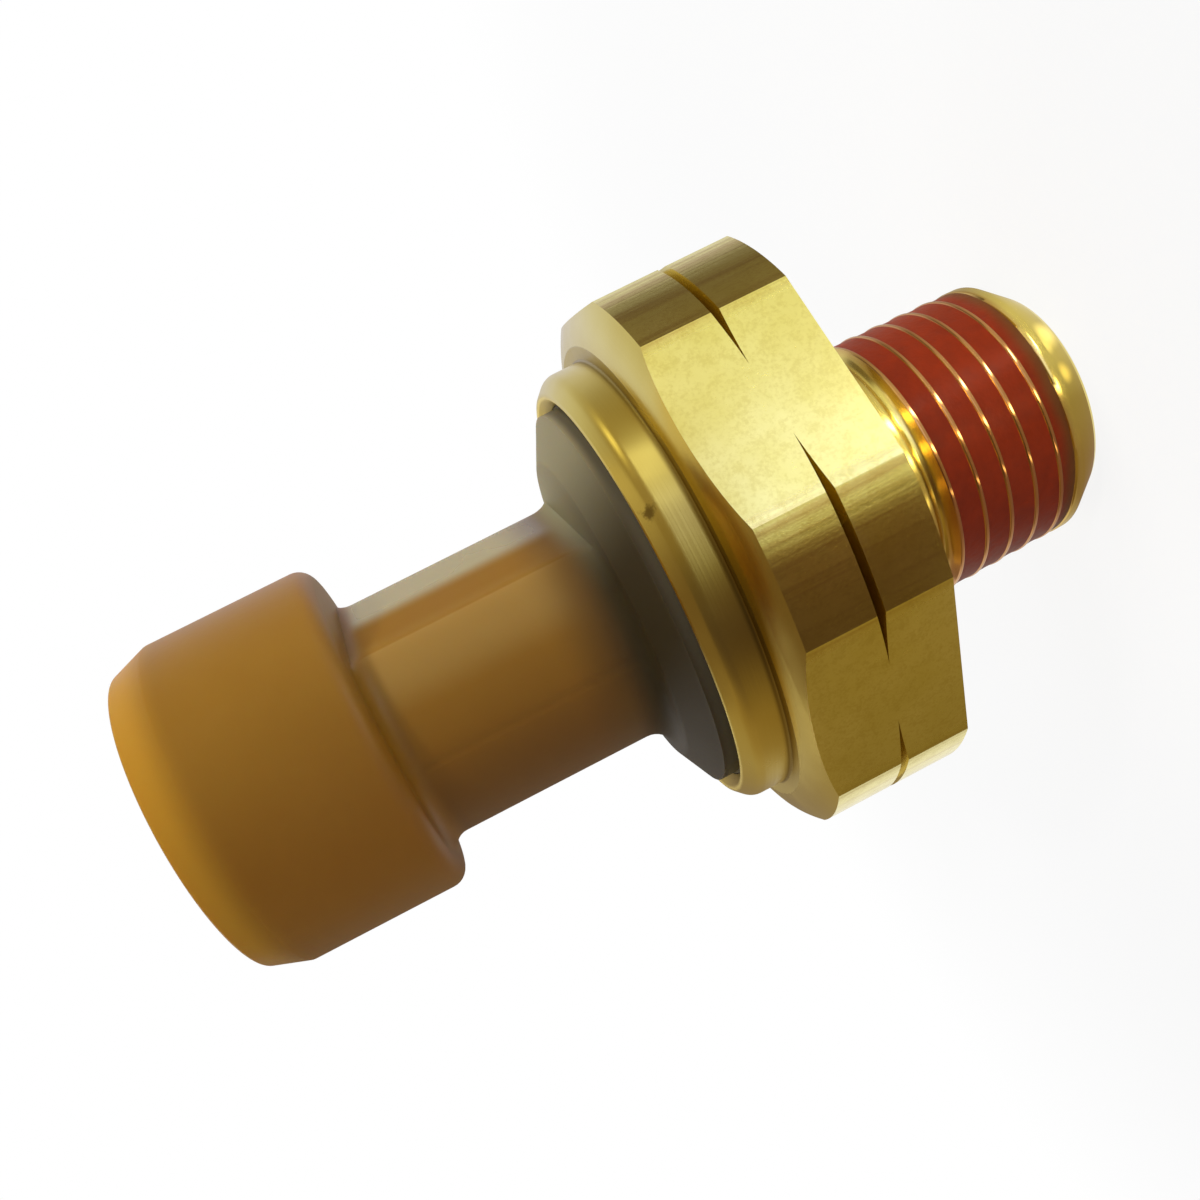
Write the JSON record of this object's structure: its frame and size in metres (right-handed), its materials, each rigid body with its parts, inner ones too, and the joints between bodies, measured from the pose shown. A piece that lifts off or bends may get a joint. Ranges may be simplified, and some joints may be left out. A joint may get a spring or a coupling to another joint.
{
  "type": "manifold absolute pressure sensor",
  "caption": "Engine pressure sensor: brass hexagon body with tapered pipe thread and sealant band, rolled over an amber round connector with contact pins and a ceramic element inside.",
  "frame": {"origin": "centre of the thread's tip face, on the axis", "axes": "+Z along the axis from the thread's tip to the connector's mouth, +Y and -Y square to one pair of hexagon flats, +X through a hexagon corner"},
  "size_m": [0.0286, 0.027, 0.0472],
  "materials": {
    "brass": "drawn hexagon bar with turned faces, bright, with fine tool lines and small rub marks",
    "sealant": "dry red thread sealant, rough",
    "amber_plastic": "translucent amber moulding with a soft satin surface",
    "contact_metal": "tin plated",
    "potting": "cast compound, smooth",
    "board": "green solder mask",
    "chip_case": "black moulding compound",
    "capacitor_ceramic": "tan ceramic with tinned ends",
    "alumina": "white fired ceramic",
    "seal_glass": "grey sealing glass, opaque",
    "lead_metal": "tinned wire",
    "elastomer": "black rubber",
    "backup_plastic": "white plastic ring"
  },
  "bodies": {
    "root": {"brass_body": "brass", "thread_sealant": "sealant", "connector_housing": "amber_plastic", "terminal_pin_1": "contact_metal", "terminal_pin_2": "contact_metal", "terminal_pin_3": "contact_metal", "terminal_potting": "potting", "circuit_board": "board", "signal_chip": "chip_case", "capacitor_1": "capacitor_ceramic", "capacitor_2": "capacitor_ceramic", "capacitor_3": "capacitor_ceramic", "ceramic_substrate": "alumina", "ceramic_diaphragm": "alumina", "glass_seal": "seal_glass", "element_pin_1": "lead_metal", "element_pin_2": "lead_metal", "element_pin_3": "lead_metal", "pressure_gasket": "elastomer", "gasket_backup_ring": "backup_plastic", "flange_seal": "elastomer"}
  },
  "joints": []
}
